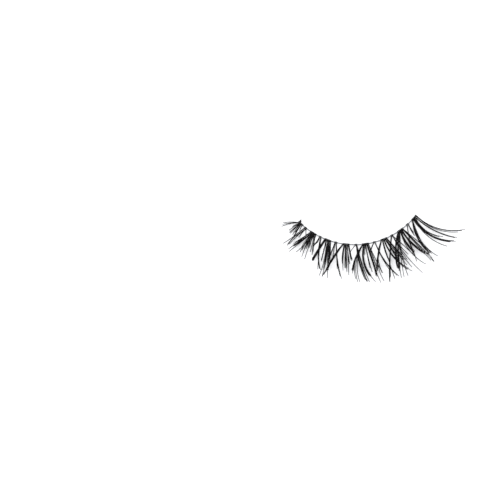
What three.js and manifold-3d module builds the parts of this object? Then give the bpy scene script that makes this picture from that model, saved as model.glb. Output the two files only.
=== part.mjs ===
// One false eyelash strip as it lies on a flat surface: a clear thread bent to the curve of an
// eyelid, with fifteen tufts of curled black fibre knotted round it, large and small in turn.
// Lengths are millimetres and angles are degrees. +Z is up, the lashes point towards -Y, and +X is
// the outer corner of the eye, where they are longest.
import * as THREE from "three";
import { mergeVertices } from "three/addons/utils/BufferGeometryUtils.js";
import Module from "manifold-3d";

// The band is a thread on an arc. Its angles are taken from straight ahead, positive to the outer corner.
const BAND_RADIUS = 19;
const BAND_LENGTH = 32;
const BAND_INNER_ANGLE = -45.2;
const THREAD_WIDTH = 0.24;
const THREAD_THICKNESS = 0.18;
const THREAD_FLAT = 0.12;
const THREAD_STEPS = 64;

// Each lock of hairs has a knot of its own round the thread, and the knots of a tuft are one row.
const KNOT_LENGTH = 0.34;
const KNOT_CLEARANCE = 0.03;
const KNOT_WAIST_WALL = 0.06;
const KNOT_CREST_WALL = 0.12;
const KNOT_SIDES = 8;
const BORE_OVERRUN = 0.1; // how far the cut of the bore runs past each end of a row

// A lock is a flat wisp that starts in its knot, dips to the surface and curls up to its tip.
const LASH_REACH = 12.5; // of the longest lock, seen from above
const LOCK_ROOT_WIDTH = 0.26;
const LOCK_WIDTH_PER_HAIR = 0.16; // where a lock is widest
const LOCK_ROOT_THICKNESS = 0.15;
const LOCK_TIP_WIDTH = 0.07;
const LOCK_TIP_THICKNESS = 0.05;
const CURL_RADIUS = 3.2; // of a lock with no reach; it grows by CURL_GROWTH for each millimetre
const CURL_GROWTH = 0.75;
const LOCK_SIDES = 4;
const LOCK_STEPS = 7;

// Locks that lean to the outer corner by FLAT_LEAN or more touch the surface. The others start
// steeper, by LIFT_PER_LEAN for each degree, so that they pass over the ones they cross.
const FLAT_LEAN = 12;
const LIFT_PER_LEAN = 0.2;

const FIBRE_COLOUR = 0x0e0d0e;
const THREAD_COLOUR = 0xdfe2e4;

// The tufts from the inner corner to the outer one. share is a tuft's place along the band. A lock
// leans from the band's normal and bends on by the rest of its reach, in degrees, positive to the
// outer corner. reach is a share of LASH_REACH, and hairs is how many it holds.
const TUFTS = [
  {
    name: "large_tuft_1",
    share: 0.026,
    locks: [
      { lean: -49, bend: 18, reach: 0.34, hairs: 2 },
      { lean: -5, bend: 4, reach: 0.28, hairs: 4 },
      { lean: 12, bend: -5, reach: 0.22, hairs: 2 },
      { lean: 14, bend: 0, reach: 0.12, hairs: 1 },
    ],
  },
  {
    name: "small_tuft_1",
    share: 0.075,
    locks: [
      { lean: -18, bend: 22, reach: 0.49, hairs: 2 },
      { lean: -17, bend: 6, reach: 0.25, hairs: 2 },
    ],
  },
  {
    name: "large_tuft_2",
    share: 0.144,
    locks: [
      { lean: -20, bend: -6, reach: 0.41, hairs: 2 },
      { lean: -18, bend: -11, reach: 0.47, hairs: 3 },
      { lean: -16, bend: 27, reach: 0.39, hairs: 4 },
      { lean: -10, bend: 31, reach: 0.3, hairs: 3 },
      { lean: 15, bend: 10, reach: 0.33, hairs: 2 },
    ],
  },
  {
    name: "small_tuft_2",
    share: 0.2035,
    locks: [
      { lean: 0, bend: -16, reach: 0.21, hairs: 2 },
      { lean: 10, bend: 28, reach: 0.63, hairs: 2 },
    ],
  },
  {
    name: "large_tuft_3",
    share: 0.265,
    locks: [
      { lean: -12, bend: 4, reach: 0.49, hairs: 5 },
      { lean: 6, bend: 2, reach: 0.43, hairs: 2 },
      { lean: 14, bend: -5, reach: 0.61, hairs: 3 },
      { lean: 21, bend: -10, reach: 0.49, hairs: 3 },
      { lean: 18, bend: -6, reach: 0.39, hairs: 2 },
    ],
  },
  {
    name: "small_tuft_3",
    share: 0.327,
    locks: [
      { lean: -7, bend: 2, reach: 0.43, hairs: 2 },
      { lean: 12, bend: 18, reach: 0.7, hairs: 2 },
    ],
  },
  {
    name: "large_tuft_4",
    share: 0.404,
    locks: [
      { lean: -34, bend: 19, reach: 0.62, hairs: 4 },
      { lean: -10, bend: 24, reach: 0.39, hairs: 2 },
      { lean: 4, bend: 3, reach: 0.46, hairs: 3 },
      { lean: 8, bend: 8, reach: 0.38, hairs: 2 },
      { lean: 13, bend: 4, reach: 0.32, hairs: 3 },
    ],
  },
  {
    name: "small_tuft_4",
    share: 0.479,
    locks: [
      { lean: -43, bend: 12, reach: 0.16, hairs: 1 },
      { lean: 3, bend: 22, reach: 0.74, hairs: 3 },
    ],
  },
  {
    name: "large_tuft_5",
    share: 0.551,
    locks: [
      { lean: -42, bend: 31, reach: 0.6, hairs: 4 },
      { lean: -22, bend: 55, reach: 0.68, hairs: 4 },
      { lean: 1, bend: 6, reach: 0.48, hairs: 2 },
      { lean: 12, bend: -8, reach: 0.66, hairs: 3 },
      { lean: 12, bend: 0, reach: 0.2, hairs: 2 },
    ],
  },
  {
    name: "small_tuft_5",
    share: 0.618,
    locks: [
      { lean: -42, bend: 19, reach: 0.23, hairs: 2 },
      { lean: 6, bend: 28, reach: 0.8, hairs: 2 },
    ],
  },
  {
    name: "large_tuft_6",
    share: 0.693,
    locks: [
      { lean: -35, bend: 13, reach: 0.61, hairs: 3 },
      { lean: -12, bend: 20, reach: 0.44, hairs: 2 },
      { lean: -3, bend: 46, reach: 0.84, hairs: 3 },
      { lean: 10, bend: 1, reach: 0.51, hairs: 3 },
      { lean: 19, bend: -6, reach: 0.54, hairs: 3 },
    ],
  },
  {
    name: "small_tuft_6",
    share: 0.759,
    locks: [
      { lean: -33, bend: 6, reach: 0.89, hairs: 3 },
      { lean: -4, bend: 13, reach: 0.55, hairs: 1 },
    ],
  },
  {
    name: "large_tuft_7",
    share: 0.833,
    locks: [
      { lean: -49, bend: 32, reach: 0.73, hairs: 4 },
      { lean: -42, bend: 16, reach: 0.78, hairs: 3 },
      { lean: -17, bend: 30, reach: 0.51, hairs: 4 },
      { lean: -7, bend: 35, reach: 0.7, hairs: 4 },
      { lean: 7, bend: -2, reach: 0.87, hairs: 3 },
    ],
  },
  {
    name: "small_tuft_7",
    share: 0.902,
    locks: [
      { lean: -35, bend: 12, reach: 0.62, hairs: 2 },
      { lean: -14, bend: 6, reach: 0.2, hairs: 2 },
    ],
  },
  {
    name: "large_tuft_8",
    share: 0.973,
    locks: [
      { lean: -42, bend: 48, reach: 0.76, hairs: 4 },
      { lean: -16, bend: 60, reach: 0.95, hairs: 4 },
      { lean: -20, bend: 55, reach: 0.68, hairs: 2 },
      { lean: -3, bend: 33, reach: 0.9, hairs: 2 },
      { lean: -4, bend: 55, reach: 1, hairs: 2 },
    ],
  },
];

const wasm = await Module();
wasm.setup();

const radians = THREE.MathUtils.degToRad;

// The row that needs the widest bore is the longest one, because a row is straight and the thread isn't.
const LONGEST_ROW = Math.max(...TUFTS.map((tuft) => tuft.locks.length)) * KNOT_LENGTH;
const THREAD_SAG = (LONGEST_ROW / 2) ** 2 / (2 * BAND_RADIUS);
const FLAT_TO_CORNER = 1 / Math.cos(Math.PI / KNOT_SIDES);
const BORE_RADIUS = (THREAD_WIDTH / 2 + KNOT_CLEARANCE + THREAD_SAG) * FLAT_TO_CORNER;
const WAIST_RADIUS = BORE_RADIUS + KNOT_WAIST_WALL;
const CREST_RADIUS = BORE_RADIUS + KNOT_CREST_WALL;

// The knots rest on the surface with a flat side, which sets the height of the thread.
const THREAD_HEIGHT = CREST_RADIUS / FLAT_TO_CORNER;
const LOCK_DIP = THREAD_HEIGHT - LOCK_ROOT_THICKNESS / 2;

// A lock starts halfway through its knot's wall.
const ROOT_DISTANCE = (BORE_RADIUS + CREST_RADIUS) / 2;

// A closed geometry as a solid that can be joined and cut.
function solidOf(geometry) {
  geometry.deleteAttribute("normal");
  geometry.deleteAttribute("uv");
  const merged = mergeVertices(geometry);
  return new wasm.Manifold(
    new wasm.Mesh({
      numProp: 3,
      vertProperties: merged.attributes.position.array,
      triVerts: merged.index.array,
    }),
  );
}

// A solid as a geometry with one normal for each face.
function geometryOf(solid) {
  const mesh = solid.getMesh();
  const shared = new THREE.BufferGeometry();
  shared.setAttribute("position", new THREE.BufferAttribute(mesh.vertProperties, 3));
  shared.setIndex(new THREE.BufferAttribute(mesh.triVerts, 1));
  const geometry = shared.toNonIndexed();
  geometry.computeVertexNormals();
  return geometry;
}

function bandAngle(share) {
  return radians(BAND_INNER_ANGLE) + (share * BAND_LENGTH) / BAND_RADIUS;
}

// The arc of the thread, at the height at which the knots carry it.
class BandCurve extends THREE.Curve {
  getPoint(share, target = new THREE.Vector3()) {
    const angle = bandAngle(share);
    return target.set(BAND_RADIUS * Math.sin(angle), -BAND_RADIUS * Math.cos(angle), THREAD_HEIGHT);
  }
}

const bandCurve = new BandCurve();

// The centre line of one lock in its tuft's own frame: +X away from the band, +Y along the band to
// the outer corner. From the side it is an arc of curlRadius, and from above an arc that turns by bend.
class LockCurve extends THREE.Curve {
  constructor({ lean, bend, reach }, rootOffset) {
    super();
    this.root = new THREE.Vector3(ROOT_DISTANCE, rootOffset, 0);
    this.heading = radians(lean);
    this.turn = radians(bend);
    this.reach = reach * LASH_REACH;
    this.curlRadius = CURL_RADIUS + CURL_GROWTH * this.reach;
    const lift = LIFT_PER_LEAN * Math.max(0, FLAT_LEAN - lean);
    this.startRise = radians(lift) - Math.acos(Math.max(0, 1 - LOCK_DIP / this.curlRadius));
    this.endRise = Math.asin(this.reach / this.curlRadius + Math.sin(this.startRise));
  }

  riseAt(t) {
    return THREE.MathUtils.lerp(this.startRise, this.endRise, t);
  }

  // How far the lock has come at t, seen from above.
  distanceAt(t) {
    return this.curlRadius * (Math.sin(this.riseAt(t)) - Math.sin(this.startRise));
  }

  headingAt(t) {
    return this.heading + (this.turn * this.distanceAt(t)) / this.reach;
  }

  getPoint(t, target = new THREE.Vector3()) {
    const halfTurn = (this.headingAt(t) - this.heading) / 2;
    const chord = this.distanceAt(t) * (halfTurn === 0 ? 1 : Math.sin(halfTurn) / halfTurn);
    const direction = this.heading + halfTurn;
    const height = this.curlRadius * (Math.cos(this.startRise) - Math.cos(this.riseAt(t)));
    target.set(chord * Math.cos(direction), chord * Math.sin(direction), height);
    return target.add(this.root);
  }

  // The lock's own axes at t: across it, and out of its flat face.
  axesAt(t) {
    const rise = this.riseAt(t);
    const heading = this.headingAt(t);
    const flat = new THREE.Vector3(Math.cos(heading), Math.sin(heading), 0);
    const across = new THREE.Vector3(Math.sin(heading), -Math.cos(heading), 0);
    const face = new THREE.Vector3(0, 0, Math.cos(rise)).addScaledVector(flat, -Math.sin(rise));
    return { across, face };
  }
}

// A lock widens from its knot to hold its hairs side by side, and narrows to one tip.
function lockWidth(hairs, t) {
  const spread = hairs * LOCK_WIDTH_PER_HAIR;
  return LOCK_ROOT_WIDTH * (1 - t) ** 2 + 2 * spread * t * (1 - t) + LOCK_TIP_WIDTH * t ** 2;
}

// A closed cylinder whose rings are flattened and set along the lock's curve.
function lockGeometry(lock, rootOffset) {
  const curve = new LockCurve(lock, rootOffset);
  const geometry = new THREE.CylinderGeometry(0.5, 0.5, 1, LOCK_SIDES, LOCK_STEPS);
  const position = geometry.attributes.position;
  const corner = new THREE.Vector3();
  const place = new THREE.Vector3();
  for (let i = 0; i < position.count; i += 1) {
    corner.fromBufferAttribute(position, i);
    const t = THREE.MathUtils.clamp(corner.y + 0.5, 0, 1);
    const { across, face } = curve.axesAt(t);
    const thickness = THREE.MathUtils.lerp(LOCK_ROOT_THICKNESS, LOCK_TIP_THICKNESS, t);
    curve.getPoint(t, place);
    place.addScaledVector(across, corner.x * lockWidth(lock.hairs, t));
    place.addScaledVector(face, corner.z * thickness);
    position.setXYZ(i, place.x, place.y, place.z);
  }
  return geometry;
}

// A row of knots: one turned bead for each lock, drawn in between them.
function knotRowGeometry(count) {
  const start = (-count * KNOT_LENGTH) / 2;
  const profile = [new THREE.Vector2(0, start), new THREE.Vector2(WAIST_RADIUS, start)];
  for (let knot = 0; knot < count; knot += 1) {
    profile.push(new THREE.Vector2(CREST_RADIUS, start + (knot + 0.5) * KNOT_LENGTH));
    profile.push(new THREE.Vector2(WAIST_RADIUS, start + (knot + 1) * KNOT_LENGTH));
  }
  profile.push(new THREE.Vector2(0, -start));
  return new THREE.LatheGeometry(profile, KNOT_SIDES).rotateY(Math.PI / KNOT_SIDES);
}

// A tuft is its row of knots with its locks grown into them, bored for the thread.
function tuftMesh({ name, share, locks }) {
  let solid = solidOf(knotRowGeometry(locks.length));
  locks.forEach((lock, i) => {
    const rootOffset = (i - (locks.length - 1) / 2) * KNOT_LENGTH;
    solid = solid.add(solidOf(lockGeometry(lock, rootOffset)));
  });
  const boreLength = locks.length * KNOT_LENGTH + 2 * BORE_OVERRUN;
  const bore = new THREE.CylinderGeometry(BORE_RADIUS, BORE_RADIUS, boreLength, KNOT_SIDES);
  solid = solid.subtract(solidOf(bore.rotateY(Math.PI / KNOT_SIDES)));

  const material = new THREE.MeshStandardMaterial({
    color: FIBRE_COLOUR,
    roughness: 0.45,
    metalness: 0,
  });
  const mesh = new THREE.Mesh(geometryOf(solid), material);
  mesh.name = name;
  bandCurve.getPoint(share, mesh.position);
  mesh.rotation.z = bandAngle(share) - Math.PI / 2;
  return mesh;
}

// The thread has a flat underside, which is the face that is glued to the eyelid.
function bandMesh() {
  const section = new THREE.Shape([
    new THREE.Vector2(-THREAD_THICKNESS / 2, -THREAD_FLAT / 2),
    new THREE.Vector2(0, -THREAD_WIDTH / 2),
    new THREE.Vector2(THREAD_THICKNESS / 2, -THREAD_FLAT / 2),
    new THREE.Vector2(THREAD_THICKNESS / 2, THREAD_FLAT / 2),
    new THREE.Vector2(0, THREAD_WIDTH / 2),
    new THREE.Vector2(-THREAD_THICKNESS / 2, THREAD_FLAT / 2),
  ]);
  const geometry = new THREE.ExtrudeGeometry(section, {
    steps: THREAD_STEPS,
    extrudePath: bandCurve,
    bevelEnabled: false,
  });
  const material = new THREE.MeshStandardMaterial({
    color: THREAD_COLOUR,
    roughness: 0.25,
    metalness: 0,
    transparent: true,
    opacity: 0.6,
  });
  const mesh = new THREE.Mesh(geometry, material);
  mesh.name = "thread_band";
  return mesh;
}

const strip = new THREE.Group();
strip.add(bandMesh(), ...TUFTS.map(tuftMesh));

// The origin is the middle of the strip's box, on the surface that it lies on.
const box = new THREE.Box3().setFromObject(strip, true);
const centre = box.getCenter(new THREE.Vector3());
strip.position.set(-centre.x, -centre.y, -box.min.z);

export default strip;
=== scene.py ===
# One false eyelash strip on a pale table, seen from straight above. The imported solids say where
# each piece sits. The plain tufts and band are replaced by what they stand for: single curled
# hairs, wound knots and a smooth clear thread. Lengths are metres and angles are degrees.
import math
import random
from collections import namedtuple

import bpy
from mathutils import Matrix, Vector


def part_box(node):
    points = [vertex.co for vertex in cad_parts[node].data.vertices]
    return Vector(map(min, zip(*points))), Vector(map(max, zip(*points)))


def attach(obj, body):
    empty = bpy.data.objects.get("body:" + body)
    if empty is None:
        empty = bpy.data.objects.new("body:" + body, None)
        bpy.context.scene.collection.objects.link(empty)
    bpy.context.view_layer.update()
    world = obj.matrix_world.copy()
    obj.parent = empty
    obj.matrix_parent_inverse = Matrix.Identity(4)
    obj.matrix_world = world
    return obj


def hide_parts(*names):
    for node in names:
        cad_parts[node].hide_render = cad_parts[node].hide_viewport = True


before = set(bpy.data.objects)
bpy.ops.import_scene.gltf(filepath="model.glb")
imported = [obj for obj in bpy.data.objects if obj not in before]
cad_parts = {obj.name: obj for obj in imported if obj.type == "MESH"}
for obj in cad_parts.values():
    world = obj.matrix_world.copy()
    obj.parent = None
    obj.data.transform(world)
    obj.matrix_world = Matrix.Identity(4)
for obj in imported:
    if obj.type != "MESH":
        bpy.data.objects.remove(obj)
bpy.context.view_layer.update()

MM = 0.001

# The band, an arc of thread. Its angles are taken from straight ahead, positive to the outer corner.
BAND_RADIUS = 19 * MM
BAND_LENGTH = 32 * MM
BAND_INNER_ANGLE = -45.2
THREAD_WIDTH = 0.24 * MM
THREAD_THICKNESS = 0.18 * MM
THREAD_FLAT = 0.12 * MM
THREAD_SIDES = 16
THREAD_STEPS = 128
MERGE_DISTANCE = 0.0001 * MM

# A knot is two and a half turns of fibre round the thread, held by a thinner strand that crosses them
# and is pulled down into them.
KNOT_SPACING = 0.34 * MM
WINDING_STRAND = 0.1 * MM
WINDING_TURNS = 2.5
CROSSING_STRAND = 0.08 * MM
CROSSING_TURNS = 1.2
CROSSING_HEIGHT_SHARE = 0.6
STRAND_SIDES = 7
STEPS_PER_TURN = 14

# Each hair springs from its knot, dips towards the table by up to HAIR_DIP and curls up to its tip.
# The radius of its curl is CURL_RADIUS and CURL_GROWTH times its length, and from TAPER_START on, as a
# share of its length, it narrows. LIFT_PER_LEAN is for each degree that a hair leans less than
# FLAT_LEAN.
LASH_REACH = 12.5 * MM
HAIR_WIDTH = 0.175 * MM
HAIR_TIP_WIDTH = 0.15 * MM
STRAY_WIDTH = 0.195 * MM
STRAY_TIP_WIDTH = 0.17 * MM
TAPER_START = 0.8
HAIR_SIDES = 5
HAIR_STEPS = 12
ROOT_DISTANCE = 0.15 * MM
HAIR_DIP = 0.18 * MM
CURL_RADIUS = 3.2 * MM
CURL_GROWTH = 0.75
FLAT_LEAN = 12
LIFT_PER_LEAN = 0.2

# How the hairs of one lock differ from each other. A range is the least and the most. Those of length,
# looseness of the curl and width are shares of the lock's own. A parting is the share of its angle at
# the tip that a hair has already at the root, where its heading also strays by ROOT_HEADING_RANGE. A
# lock with more splay than FAN_SPLAY opens from its knot like a fan, and the others part near their
# tips.
HAIR_SPACING = 0.09 * MM
LENGTH_RANGE = (0.89, 0.99)
LOOSENING_RANGE = (1, 1.08)
HAIR_WIDTH_RANGE = (0.85, 1.1)
STRAY_WIDTH_RANGE = (0.9, 1.05)
FAN_SPLAY = 6
FAN_PARTING_RANGE = (0.6, 1.3)
LOCK_PARTING_RANGE = (-0.3, 0.6)
ROOT_HEADING_RANGE = (-0.75, 0.75)

# A hair starts this much further along the fibre's pattern for each point that the tuft's earlier
# hairs have, so that no two hairs look the same.
PATTERN_SHIFT = 0.37 * MM

# Edges that bend less than these angles are smooth.
THREAD_SMOOTH_ANGLE = 35
STRAND_SMOOTH_ANGLE = 60
HAIR_SMOOTH_ANGLE = 80

# The cut ends at the inner corner. share is a share of the band, and reach of LASH_REACH.
CutEnd = namedtuple("CutEnd", "share lean reach")
CUT_ENDS = [
    CutEnd(0.006, 0, 0.065),
    CutEnd(0.012, 14, 0.055),
    CutEnd(0.018, 24, 0.05),
]

# The view: the middle of the photograph, and the middle of the band's arc in it, in its pixels.
PHOTO_SIZE = 500
ARC_CENTRE_PX = (354.5, 165.5)
METRES_PER_PX = 0.24 * MM
CAMERA_LENS = 400
CAMERA_CLIP_START = 0.01

# The stage: a table far larger than the view, a pale sky and one softbox, bright enough together to
# wash the table out to white.
TABLE_SIZE = 6
SKY_STRENGTH = 1.1
SOFTBOX_PLACE = (-0.35, 0.3, 1.1)
SOFTBOX_SIZE = 0.9
SOFTBOX_POWER = 7.6

# A tuft's share is the place of its middle along the band. A lock leans from the band's normal at its
# knot and turns on by bend up to its tip, both positive to the outer corner. reach is a share of
# LASH_REACH, and splay is about twice the angle between the tips of its outer hairs, seen from the
# knot. A stray is one hair, from the knot with that number.
Lock = namedtuple("Lock", "lean bend reach hairs splay")
Stray = namedtuple("Stray", "knot lean bend reach")
Tuft = namedtuple("Tuft", "name share locks strays")

TUFTS = [
    Tuft("large_tuft_1", 0.026, [
        Lock(-49, 18, 0.34, 2, 18),
        Lock(-5, 4, 0.28, 4, 40),
        Lock(12, -5, 0.22, 2, 16),
        Lock(14, 0, 0.12, 1, 0),
    ], [
        Stray(0, -47, 26, 0.36),
        Stray(1, -36, 24, 0.17),
        Stray(2, 12, -4, 0.3),
    ]),
    Tuft("small_tuft_1", 0.075, [
        Lock(-18, 22, 0.49, 2, 3),
        Lock(-17, 6, 0.25, 2, 5),
    ], [
        Stray(0, -10, -11, 0.53),
        Stray(1, -16, 12, 0.45),
        Stray(1, -3, 4, 0.23),
        Stray(1, 36, 0, 0.13),
    ]),
    Tuft("large_tuft_2", 0.144, [
        Lock(-20, -6, 0.41, 2, 3),
        Lock(-18, -11, 0.47, 3, 3),
        Lock(-16, 27, 0.39, 3, 18),
        Lock(-10, 31, 0.3, 3, 20),
        Lock(15, 10, 0.33, 2, 4),
    ], [
        Stray(0, -17, -4, 0.55),
        Stray(1, -19, 0, 0.58),
        Stray(2, -2, -20, 0.5),
        Stray(2, -4, 18, 0.51),
        Stray(2, -15, 24, 0.45),
        Stray(3, -14, 29, 0.33),
        Stray(3, 2, 13, 0.52),
        Stray(3, 19, -5, 0.36),
        Stray(4, 17, 5, 0.4),
    ]),
    Tuft("small_tuft_2", 0.2035, [
        Lock(0, -16, 0.21, 2, 5),
        Lock(10, 28, 0.63, 2, 3),
    ], [
        Stray(0, 10, -20, 0.15),
        Stray(1, 13, 11, 0.39),
        Stray(1, 17, 4, 0.62),
    ]),
    Tuft("large_tuft_3", 0.265, [
        Lock(-12, 4, 0.49, 5, 3),
        Lock(6, 2, 0.43, 2, 3),
        Lock(14, -5, 0.61, 2, 5),
        Lock(21, -10, 0.49, 2, 5),
        Lock(18, -6, 0.39, 2, 4),
    ], [
        Stray(1, 22, -25, 0.71),
        Stray(2, 19, -18, 0.71),
        Stray(3, 12, 9, 0.72),
        Stray(3, 20, -5, 0.57),
    ]),
    Tuft("small_tuft_3", 0.327, [
        Lock(-7, 2, 0.43, 2, 3),
        Lock(12, 18, 0.7, 2, 3),
    ], [
        Stray(0, 5, -3, 0.29),
        Stray(1, 15, 1, 0.51),
    ]),
    Tuft("large_tuft_4", 0.404, [
        Lock(-34, 19, 0.62, 4, 3),
        Lock(-10, 24, 0.39, 2, 4),
        Lock(4, 3, 0.46, 3, 5),
        Lock(8, 8, 0.38, 2, 4),
        Lock(13, 4, 0.32, 3, 4),
    ], [
        Stray(0, -28, 6, 0.75),
        Stray(0, -26, 3, 0.7),
        Stray(1, -4, 14, 0.51),
        Stray(2, 8, -1, 0.54),
        Stray(3, 9, -2, 0.59),
    ]),
    Tuft("small_tuft_4", 0.479, [
        Lock(-43, 12, 0.16, 1, 0),
        Lock(3, 22, 0.74, 3, 3),
    ], [
        Stray(1, 11, 12, 0.75),
        Stray(1, 12, 5, 0.74),
    ]),
    Tuft("large_tuft_5", 0.551, [
        Lock(-42, 31, 0.6, 4, 3),
        Lock(-22, 55, 0.68, 4, 3),
        Lock(1, 6, 0.48, 2, 4),
        Lock(12, -8, 0.66, 3, 3),
        Lock(12, 0, 0.2, 2, 6),
    ], [
        Stray(0, -45, 52, 0.7),
        Stray(0, -38, 48, 0.75),
        Stray(0, -34, 46, 0.74),
        Stray(1, -18, 56, 0.78),
        Stray(2, -18, 9, 0.21),
        Stray(2, 4, 4, 0.55),
        Stray(3, 9, -3, 0.62),
        Stray(4, 11, -4, 0.54),
        Stray(3, 7, 8, 0.79),
        Stray(4, 16, -1, 0.62),
    ]),
    Tuft("small_tuft_5", 0.618, [
        Lock(-42, 19, 0.23, 2, 5),
        Lock(6, 28, 0.8, 2, 3),
    ], [
        Stray(1, 6, 13, 0.59),
    ]),
    Tuft("large_tuft_6", 0.693, [
        Lock(-35, 13, 0.61, 3, 4),
        Lock(-12, 20, 0.44, 2, 4),
        Lock(-3, 46, 0.84, 3, 3),
        Lock(10, 1, 0.51, 3, 6),
        Lock(19, -6, 0.54, 3, 6),
    ], [
        Stray(0, -34, 12, 0.56),
        Stray(0, -44, 52, 0.65),
        Stray(0, -43, 53, 0.81),
        Stray(1, -4, 1, 0.78),
        Stray(3, 17, -1, 0.65),
        Stray(4, 21, -7, 0.74),
    ]),
    Tuft("small_tuft_6", 0.759, [
        Lock(-33, 6, 0.89, 3, 2),
        Lock(-4, 13, 0.55, 1, 0),
    ], [
        Stray(1, 2, 16, 0.92),
        Stray(1, 5, 14, 0.48),
        Stray(1, 24, -9, 0.48),
    ]),
    Tuft("large_tuft_7", 0.833, [
        Lock(-49, 32, 0.73, 4, 4),
        Lock(-42, 16, 0.78, 3, 3),
        Lock(-17, 30, 0.51, 4, 5),
        Lock(-7, 35, 0.7, 4, 4),
        Lock(7, -2, 0.87, 3, 5),
    ], [
        Stray(0, -34, 9, 0.88),
        Stray(1, -32, 6, 0.88),
        Stray(1, -31, 15, 0.87),
        Stray(1, -28, -12, 0.37),
        Stray(2, -23, 49, 0.83),
        Stray(2, 8, -32, 0.68),
        Stray(3, -8, 31, 0.61),
        Stray(4, 12, 3, 0.71),
    ]),
    Tuft("small_tuft_7", 0.902, [
        Lock(-35, 12, 0.62, 2, 3),
        Lock(-14, 6, 0.2, 2, 5),
    ], [
        Stray(1, -24, 20, 0.26),
    ]),
    Tuft("large_tuft_8", 0.973, [
        Lock(-42, 48, 0.76, 4, 3),
        Lock(-16, 60, 0.95, 4, 2),
        Lock(-20, 55, 0.68, 2, 3),
        Lock(-3, 33, 0.9, 2, 2),
        Lock(-4, 55, 1, 2, 2),
    ], [
        Stray(0, -29, 18, 0.9),
        Stray(0, -37, 49, 0.87),
        Stray(2, -25, 50, 0.85),
        Stray(3, -27, 28, 0.3),
        Stray(3, -3, 15, 0.42),
        Stray(4, -4, 22, 0.4),
        Stray(4, -5, 28, 0.52),
        Stray(4, -9, 53, 0.89),
    ]),
]

# The middle of the band's arc, on the level of the thread.
thread_low, thread_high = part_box("thread_band")
ARC_CENTRE = Vector((
    thread_low.x + (BAND_RADIUS + THREAD_WIDTH / 2) * math.sin(math.radians(-BAND_INNER_ANGLE)),
    thread_low.y + BAND_RADIUS + THREAD_WIDTH / 2,
    (thread_low.z + thread_high.z) / 2,
))
BAND_ANGLE = BAND_LENGTH / BAND_RADIUS


# The place on the thread at a share of its length: X away from the band, Y along it to the outer
# corner, Z up.
def band_place(share):
    angle = math.radians(BAND_INNER_ANGLE) + share * BAND_ANGLE
    outward = Vector((math.sin(angle), -math.cos(angle), 0))
    turned = Matrix.Rotation(angle - math.pi / 2, 4, "Z")
    return Matrix.Translation(ARC_CENTRE + BAND_RADIUS * outward) @ turned


def mix(a, b, t):
    return a + (b - a) * t


# Colours

def linear(hex_colour):
    channels = []
    for i in (1, 3, 5):
        value = int(hex_colour[i:i + 2], 16) / 255
        channels.append(value / 12.92 if value <= 0.04045 else ((value + 0.055) / 1.055) ** 2.4)
    return (*channels, 1)


# Materials

def add_node(tree, kind, inputs, **settings):
    node = tree.nodes.new(kind)
    for name, value in settings.items():
        setattr(node, name, value)
    for socket, value in inputs.items():
        if isinstance(value, bpy.types.NodeSocket):
            tree.links.new(value, node.inputs[socket])
        else:
            node.inputs[socket].default_value = value
    return node


def new_material(name):
    material = bpy.data.materials.new(name)
    material.use_nodes = True
    material.node_tree.nodes.clear()
    return material


def finish_material(material, shader_inputs):
    tree = material.node_tree
    shader = add_node(tree, "ShaderNodeBsdfPrincipled", shader_inputs)
    add_node(tree, "ShaderNodeOutputMaterial", {"Surface": shader.outputs["BSDF"]})
    return material


# PBT monofilament, drawn from the melt and set in a curl by heat. The draw leaves fine lines along
# the fibre, about 0.01 mm apart and drawn here at 0.03 mm, which turn its shine into satin. The
# black is a shade browner and lighter towards the tip, where the fibre is thin.
def curled_pbt_fibre():
    material = new_material("curled_pbt_fibre")
    tree = material.node_tree
    straight = add_node(tree, "ShaderNodeAttribute", {}, attribute_name="straight_fibre")
    along = add_node(tree, "ShaderNodeAttribute", {}, attribute_name="along")
    lines_place = add_node(
        tree, "ShaderNodeMapping", {"Vector": straight.outputs["Vector"], "Scale": (1, 1, 0.02)})
    lines = add_node(tree, "ShaderNodeTexNoise", {
        "Vector": lines_place.outputs["Vector"], "Scale": 1 / (0.03 * MM), "Detail": 2})
    patches_place = add_node(
        tree, "ShaderNodeMapping", {"Vector": straight.outputs["Vector"], "Scale": (0.2, 0.2, 1)})
    patches = add_node(tree, "ShaderNodeTexNoise", {
        "Vector": patches_place.outputs["Vector"], "Scale": 1 / (1.5 * MM), "Detail": 1})
    tip = add_node(tree, "ShaderNodeMapRange", {
        "Value": along.outputs["Fac"], "From Min": 0.6, "From Max": 1, "To Min": 0, "To Max": 0.7},
        interpolation_type="SMOOTHSTEP")
    black = add_node(tree, "ShaderNodeMix", {
        "Factor": patches.outputs["Fac"], "A": linear("#060506"), "B": linear("#110f10")},
        data_type="RGBA")
    colour = add_node(tree, "ShaderNodeMix", {
        "Factor": tip.outputs["Result"], "A": black.outputs["Result"], "B": linear("#1a1615")},
        data_type="RGBA")
    roughness = add_node(tree, "ShaderNodeMapRange", {
        "Value": patches.outputs["Fac"], "To Min": 0.36, "To Max": 0.52})
    bump = add_node(tree, "ShaderNodeBump", {
        "Height": lines.outputs["Fac"], "Strength": 0.35, "Distance": 0.004 * MM})
    return finish_material(material, {
        "Base Color": colour.outputs["Result"],
        "Roughness": roughness.outputs["Result"],
        "IOR": 1.55,
        "Specular IOR Level": 0.06,
        "Anisotropic": 0.3,
        "Normal": bump.outputs["Normal"],
    })


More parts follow.
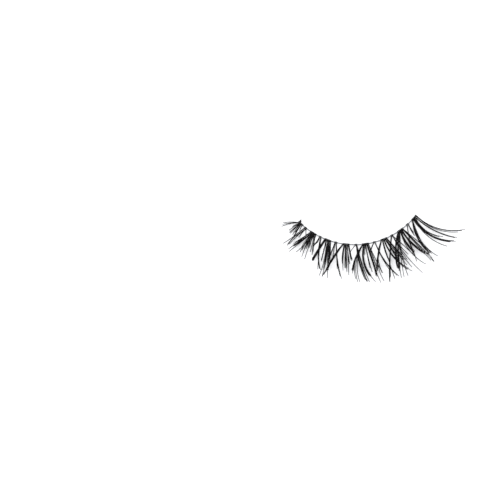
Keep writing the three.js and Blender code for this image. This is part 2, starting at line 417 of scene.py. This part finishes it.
# The same fibre pulled tight in a knot and sealed with a brushed dot of clear glue, which dries to
# an uneven, shinier skin with ripples about 0.08 mm apart.
def glued_knot_fibre():
    material = new_material("glued_knot_fibre")
    tree = material.node_tree
    place = add_node(tree, "ShaderNodeTexCoord", {})
    ripples = add_node(tree, "ShaderNodeTexNoise", {
        "Vector": place.outputs["Object"], "Scale": 1 / (0.08 * MM), "Detail": 3})
    colour = add_node(tree, "ShaderNodeMix", {
        "Factor": ripples.outputs["Fac"], "A": linear("#050505"), "B": linear("#131112")},
        data_type="RGBA")
    roughness = add_node(tree, "ShaderNodeMapRange", {
        "Value": ripples.outputs["Fac"], "From Min": 0.3, "From Max": 0.7, "To Min": 0.28, "To Max": 0.55})
    bump = add_node(tree, "ShaderNodeBump", {
        "Height": ripples.outputs["Fac"], "Strength": 0.5, "Distance": 0.01 * MM})
    return finish_material(material, {
        "Base Color": colour.outputs["Result"],
        "Roughness": roughness.outputs["Result"],
        "IOR": 1.55,
        "Specular IOR Level": 0.06,
        "Coat Weight": 0.08,
        "Coat Roughness": 0.2,
        "Coat IOR": 1.47,
        "Normal": bump.outputs["Normal"],
    })


# Clear nylon monofilament. It is extruded smooth, but handling leaves it faintly cloudy in patches about 1
# mm long, which vary its shine. Its grey is painted shade that stands in for the dark edges refraction
# gives the clear thread on white, so that it reads as a pale grey line; the grey varies with the same
# patches.
def clear_nylon():
    material = new_material("clear_nylon")
    tree = material.node_tree
    place = add_node(tree, "ShaderNodeTexCoord", {})
    clouds = add_node(tree, "ShaderNodeTexNoise", {
        "Vector": place.outputs["Object"], "Scale": 1 / (1 * MM), "Detail": 3})
    # Painted shade: a grey base colour for the dark refraction edges of a clear thread on white.
    colour = add_node(tree, "ShaderNodeMix", {
        "Factor": clouds.outputs["Fac"], "A": linear("#6c6f73"), "B": linear("#94979a")},
        data_type="RGBA")
    roughness = add_node(tree, "ShaderNodeMapRange", {
        "Value": clouds.outputs["Fac"], "From Min": 0.3, "From Max": 0.7, "To Min": 0.12, "To Max": 0.32})
    bump = add_node(tree, "ShaderNodeBump", {
        "Height": clouds.outputs["Fac"], "Strength": 0.15, "Distance": 0.02 * MM})
    return finish_material(material, {
        "Base Color": colour.outputs["Result"],
        "Roughness": roughness.outputs["Result"],
        "IOR": 1.53,
        "Transmission Weight": 0.45,
        "Normal": bump.outputs["Normal"],
    })


# Matt white card under the strip.
def white_card():
    material = new_material("white_card")
    tree = material.node_tree
    place = add_node(tree, "ShaderNodeTexCoord", {})
    grain = add_node(tree, "ShaderNodeTexNoise", {
        "Vector": place.outputs["Object"], "Scale": 1 / (40 * MM), "Detail": 2})
    colour = add_node(tree, "ShaderNodeMix", {
        "Factor": grain.outputs["Fac"], "A": linear("#f9f9f9"), "B": linear("#fcfcfc")},
        data_type="RGBA")
    return finish_material(material, {
        "Base Color": colour.outputs["Result"],
        "Roughness": 0.9,
        "Specular IOR Level": 0.1,
    })


# Pieces

def select_only(piece):
    bpy.ops.object.select_all(action="DESELECT")
    piece.select_set(True)
    bpy.context.view_layer.objects.active = piece


def apply_place(piece):
    select_only(piece)
    bpy.ops.object.transform_apply(location=True, rotation=True, scale=True)


# Hands a finished piece to the strip: its finish, the body that it moves with and the solid that it stands
# for.
def add_to_strip(piece, material, slot, *nodes):
    piece.data.materials.clear()
    piece.data.materials.append(material)
    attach(piece, "root")
    if nodes:
        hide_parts(*nodes)


# The thread's section, round with a flat underside, spun along the band.
def make_thread(material):
    half_flat_share = THREAD_FLAT / THREAD_WIDTH
    half_height = THREAD_THICKNESS / (1 + math.sqrt(1 - half_flat_share ** 2))
    start = band_place(0)
    middle = start.translation + Vector((0, 0, THREAD_THICKNESS / 2 - half_height))
    heading = math.radians(BAND_INNER_ANGLE)
    bpy.ops.object.select_all(action="DESELECT")
    bpy.ops.mesh.primitive_circle_add(
        vertices=THREAD_SIDES, radius=THREAD_WIDTH / 2, fill_type="NGON",
        location=middle, rotation=(math.pi / 2, 0, heading + math.pi / 2))
    thread = bpy.context.object
    thread.name = "nylon_thread"
    apply_place(thread)
    bpy.ops.object.mode_set(mode="EDIT")
    bpy.ops.mesh.select_all(action="SELECT")
    bpy.ops.transform.resize(
        value=(1, 1, half_height / (THREAD_WIDTH / 2)), center_override=middle)
    bpy.ops.mesh.bisect(
        plane_co=(middle.x, middle.y, ARC_CENTRE.z - THREAD_THICKNESS / 2),
        plane_no=(0, 0, -1), clear_outer=True)
    bpy.ops.mesh.select_all(action="SELECT")
    bpy.ops.mesh.spin(steps=THREAD_STEPS, angle=-BAND_ANGLE, center=ARC_CENTRE, axis=(0, 0, 1))
    bpy.ops.mesh.select_all(action="SELECT")
    bpy.ops.mesh.remove_doubles(threshold=MERGE_DISTANCE)
    bpy.ops.mesh.normals_make_consistent(inside=False)
    bpy.ops.object.mode_set(mode="OBJECT")
    bpy.ops.object.shade_smooth_by_angle(angle=math.radians(THREAD_SMOOTH_ANGLE))
    add_to_strip(thread, material, "thread", "thread_band")


# A strand wound round the Y axis: a circle on a screw, with its two ends closed.
def wind_strand(name, width, ring, turns, rise):
    bpy.ops.object.select_all(action="DESELECT")
    bpy.ops.mesh.primitive_circle_add(
        vertices=STRAND_SIDES, radius=width / 2, location=(ring, 0, 0), rotation=(math.pi / 2, 0, 0))
    strand = bpy.context.object
    strand.name = name
    apply_place(strand)
    screw = strand.modifiers.new("winding", "SCREW")
    screw.angle = turns * 2 * math.pi
    screw.screw_offset = rise
    screw.steps = round(STEPS_PER_TURN * turns)
    screw.render_steps = screw.steps
    bpy.ops.object.modifier_apply(modifier=screw.name)
    bpy.ops.object.mode_set(mode="EDIT")
    bpy.ops.mesh.select_all(action="SELECT")
    bpy.ops.transform.translate(value=(0, 0, -rise / 2))
    bpy.ops.mesh.fill_holes(sides=STRAND_SIDES)
    bpy.ops.mesh.select_all(action="SELECT")
    bpy.ops.mesh.normals_make_consistent(inside=False)
    bpy.ops.object.mode_set(mode="OBJECT")
    strand.rotation_euler = (-math.pi / 2, 0, 0)
    apply_place(strand)
    bpy.ops.object.shade_smooth_by_angle(angle=math.radians(STRAND_SMOOTH_ANGLE))
    return strand


# One knot, at the middle of the world and along Y, from which the others are copied.
def make_knot():
    winding_ring = (THREAD_WIDTH + WINDING_STRAND) / 2
    winding = wind_strand(
        "winding", WINDING_STRAND, winding_ring, WINDING_TURNS, KNOT_SPACING - WINDING_STRAND)
    crossing_ring = winding_ring + (WINDING_STRAND + CROSSING_STRAND) / 2 * CROSSING_HEIGHT_SHARE
    crossing = wind_strand(
        "crossing", CROSSING_STRAND, crossing_ring, CROSSING_TURNS, CROSSING_STRAND - KNOT_SPACING)
    select_only(winding)
    crossing.select_set(True)
    bpy.ops.object.join()
    return winding


# The share of the band at which a knot of a tuft sits.
def knot_share(tuft, knot):
    return tuft.share + (knot - (len(tuft.locks) - 1) / 2) * KNOT_SPACING / BAND_LENGTH


def make_knot_row(tuft, pattern, material, rng):
    knots = []
    for number in range(len(tuft.locks)):
        knot = pattern.copy()
        knot.data = pattern.data.copy()
        bpy.context.collection.objects.link(knot)
        turned = Matrix.Rotation(rng.uniform(-math.pi, math.pi), 4, "Y")
        knot.data.transform(band_place(knot_share(tuft, number)) @ turned)
        knots.append(knot)
    select_only(knots[0])
    for knot in knots:
        knot.select_set(True)
    bpy.ops.object.join()
    row = bpy.context.object
    row.name = tuft.name + "_knots"
    add_to_strip(row, material, "knot")


# The hairs of one tuft, gathered into one mesh. For the material, straight keeps where each point is
# on the fibre before it is curled, and along keeps the point's share of its hair's length.
class Hairs:
    def __init__(self):
        self.points = []
        self.faces = []
        self.straight = []
        self.along = []

    # One hair as a closed tapered tube. From the side it is an arc of curl_radius, and from above
    # an arc that turns by bend. loosen makes the curl wider than the lock's own.
    def grow(self, place, sideways, lean, bend, reach, lift, loosen, width, tip_width):
        length = reach * LASH_REACH - tip_width
        curl_radius = (CURL_RADIUS + CURL_GROWTH * length) * loosen
        start_rise = math.radians(lift) - math.acos(1 - HAIR_DIP / curl_radius)
        end_rise = math.asin(length / curl_radius + math.sin(start_rise))
        heading = math.radians(lean)
        turn = math.radians(bend)
        fibre_start = len(self.points) * PATTERN_SHIFT
        first = len(self.points)
        for step in range(HAIR_STEPS + 1):
            t = step / HAIR_STEPS
            rise = mix(start_rise, end_rise, t)
            distance = curl_radius * (math.sin(rise) - math.sin(start_rise))
            turned = turn * distance / length
            chord = distance * (math.sin(turned / 2) / (turned / 2) if turned else 1)
            centre = Vector((
                ROOT_DISTANCE + chord * math.cos(heading + turned / 2),
                sideways + chord * math.sin(heading + turned / 2),
                curl_radius * (math.cos(start_rise) - math.cos(rise)),
            ))
            level = Vector((math.cos(heading + turned), math.sin(heading + turned), 0))
            across = Vector((level.y, -level.x, 0))
            face = Vector((0, 0, math.cos(rise))) - math.sin(rise) * level
            taper = max(0, (t - TAPER_START) / (1 - TAPER_START))
            radius = mix(width, tip_width, taper * taper * (3 - 2 * taper)) / 2
            travelled = fibre_start + curl_radius * (rise - start_rise)
            for side in range(HAIR_SIDES):
                angle = 2 * math.pi * side / HAIR_SIDES
                spoke = radius * (math.cos(angle) * across + math.sin(angle) * face)
                self.points.append(place @ (centre + spoke))
                self.straight.append((radius * math.cos(angle), radius * math.sin(angle), travelled))
                self.along.append(t)
        for step in range(HAIR_STEPS):
            ring = first + step * HAIR_SIDES
            for side in range(HAIR_SIDES):
                after = (side + 1) % HAIR_SIDES
                self.faces.append((
                    ring + side, ring + after, ring + HAIR_SIDES + after, ring + HAIR_SIDES + side))
        last = first + HAIR_STEPS * HAIR_SIDES
        self.faces.append([first + side for side in reversed(range(HAIR_SIDES))])
        self.faces.append([last + side for side in range(HAIR_SIDES)])

    def piece(self, name):
        mesh = bpy.data.meshes.new(name)
        mesh.from_pydata(self.points, [], self.faces)
        straight = mesh.attributes.new("straight_fibre", "FLOAT_VECTOR", "POINT")
        straight.data.foreach_set("vector", [value for point in self.straight for value in point])
        along = mesh.attributes.new("along", "FLOAT", "POINT")
        along.data.foreach_set("value", self.along)
        piece = bpy.data.objects.new(name, mesh)
        bpy.context.collection.objects.link(piece)
        select_only(piece)
        bpy.ops.object.shade_smooth_by_angle(angle=math.radians(HAIR_SMOOTH_ANGLE))
        return piece


# Hairs that lean to the inner corner leave the knot steeper, which takes them over those they cross.
def lift_angle(lean):
    return LIFT_PER_LEAN * max(0, FLAT_LEAN - lean)


# The hairs of a lock leave their knot side by side and part towards the tips. The longest one has
# the lock's own reach and line. drift is the angle by which another hair's tip leaves that line, seen
# from the knot, and early is the angle by which its root does.
def grow_lock(hairs, place, lock, rng):
    lift = lift_angle(lock.lean)
    longest = lock.hairs // 2
    for number in range(lock.hairs):
        side = (2 * number - (lock.hairs - 1)) / max(1, lock.hairs - 1)
        drift = side * lock.splay / 4
        parting_range = FAN_PARTING_RANGE if lock.splay > FAN_SPLAY else LOCK_PARTING_RANGE
        early = rng.uniform(*parting_range) * drift + rng.uniform(*ROOT_HEADING_RANGE)
        share = rng.uniform(*LENGTH_RANGE)
        if number == longest:
            early = 0
            drift = 0
            share = 1
        hairs.grow(
            place, (number - (lock.hairs - 1) / 2) * HAIR_SPACING, lock.lean + early,
            share * lock.bend + 2 * (drift - early), share * lock.reach, lift,
            rng.uniform(*LOOSENING_RANGE), HAIR_WIDTH * rng.uniform(*HAIR_WIDTH_RANGE), HAIR_TIP_WIDTH)


def make_tuft_hairs(tuft, material, rng):
    hairs = Hairs()
    for number, lock in enumerate(tuft.locks):
        grow_lock(hairs, band_place(knot_share(tuft, number)), lock, rng)
    for stray in tuft.strays:
        lift = lift_angle(stray.lean)
        hairs.grow(
            band_place(knot_share(tuft, stray.knot)), rng.uniform(-1, 1) * HAIR_SPACING,
            stray.lean, stray.bend, stray.reach, lift,
            rng.uniform(*LOOSENING_RANGE), STRAY_WIDTH * rng.uniform(*STRAY_WIDTH_RANGE),
            STRAY_TIP_WIDTH)
    piece = hairs.piece(tuft.name + "_hairs")
    add_to_strip(piece, material, "fibre", tuft.name)


# The cut ends of the inner corner's last strands, which reach inward and down from their knots and
# meet.
def make_cut_ends(material):
    hairs = Hairs()
    for end in CUT_ENDS:
        inward = band_place(end.share) @ Matrix.Rotation(math.pi, 4, "Z")
        hairs.grow(inward, 0, end.lean, 0, end.reach, 0, 1, STRAY_WIDTH, HAIR_TIP_WIDTH)
    add_to_strip(hairs.piece("strand_cut_ends"), material, "knot")


# Stage

def make_floor(material):
    bpy.ops.object.select_all(action="DESELECT")
    bpy.ops.mesh.primitive_plane_add(size=TABLE_SIZE, location=(0, 0, 0))
    floor = bpy.context.object
    floor.name = "white_table"
    floor.data.materials.append(material)


def make_light():
    world = bpy.data.worlds.new("pale_room")
    world.use_nodes = True
    sky = world.node_tree.nodes["Background"]
    sky.inputs["Color"].default_value = linear("#fbfcff")
    sky.inputs["Strength"].default_value = SKY_STRENGTH
    bpy.context.scene.world = world
    bpy.ops.object.light_add(type="AREA", location=SOFTBOX_PLACE)
    key = bpy.context.object
    key.name = "softbox"
    key.data.shape = "SQUARE"
    key.data.size = SOFTBOX_SIZE
    key.data.energy = SOFTBOX_POWER
    key.rotation_euler = (-key.location).to_track_quat("-Z", "Y").to_euler()
    bpy.context.scene.view_settings.view_transform = "Standard"


# Straight above the middle of the photograph, far enough away to see the strip without perspective.
def make_camera():
    x = ARC_CENTRE.x + (PHOTO_SIZE / 2 - ARC_CENTRE_PX[0]) * METRES_PER_PX
    y = ARC_CENTRE.y - (PHOTO_SIZE / 2 - ARC_CENTRE_PX[1]) * METRES_PER_PX
    camera_data = bpy.data.cameras.new("camera")
    camera_data.lens = CAMERA_LENS
    camera_data.clip_start = CAMERA_CLIP_START
    height = PHOTO_SIZE * METRES_PER_PX * CAMERA_LENS / camera_data.sensor_width
    camera = bpy.data.objects.new("camera", camera_data)
    camera.location = (x, y, height)
    bpy.context.collection.objects.link(camera)
    bpy.context.scene.camera = camera


make_camera()
make_light()
make_floor(white_card())
make_thread(clear_nylon())

fibre = curled_pbt_fibre()
knot_fibre = glued_knot_fibre()
knot_pattern = make_knot()
for seed, tuft in enumerate(TUFTS):
    rng = random.Random(seed)
    make_tuft_hairs(tuft, fibre, rng)
    make_knot_row(tuft, knot_pattern, knot_fibre, rng)
bpy.data.objects.remove(knot_pattern)
make_cut_ends(knot_fibre)
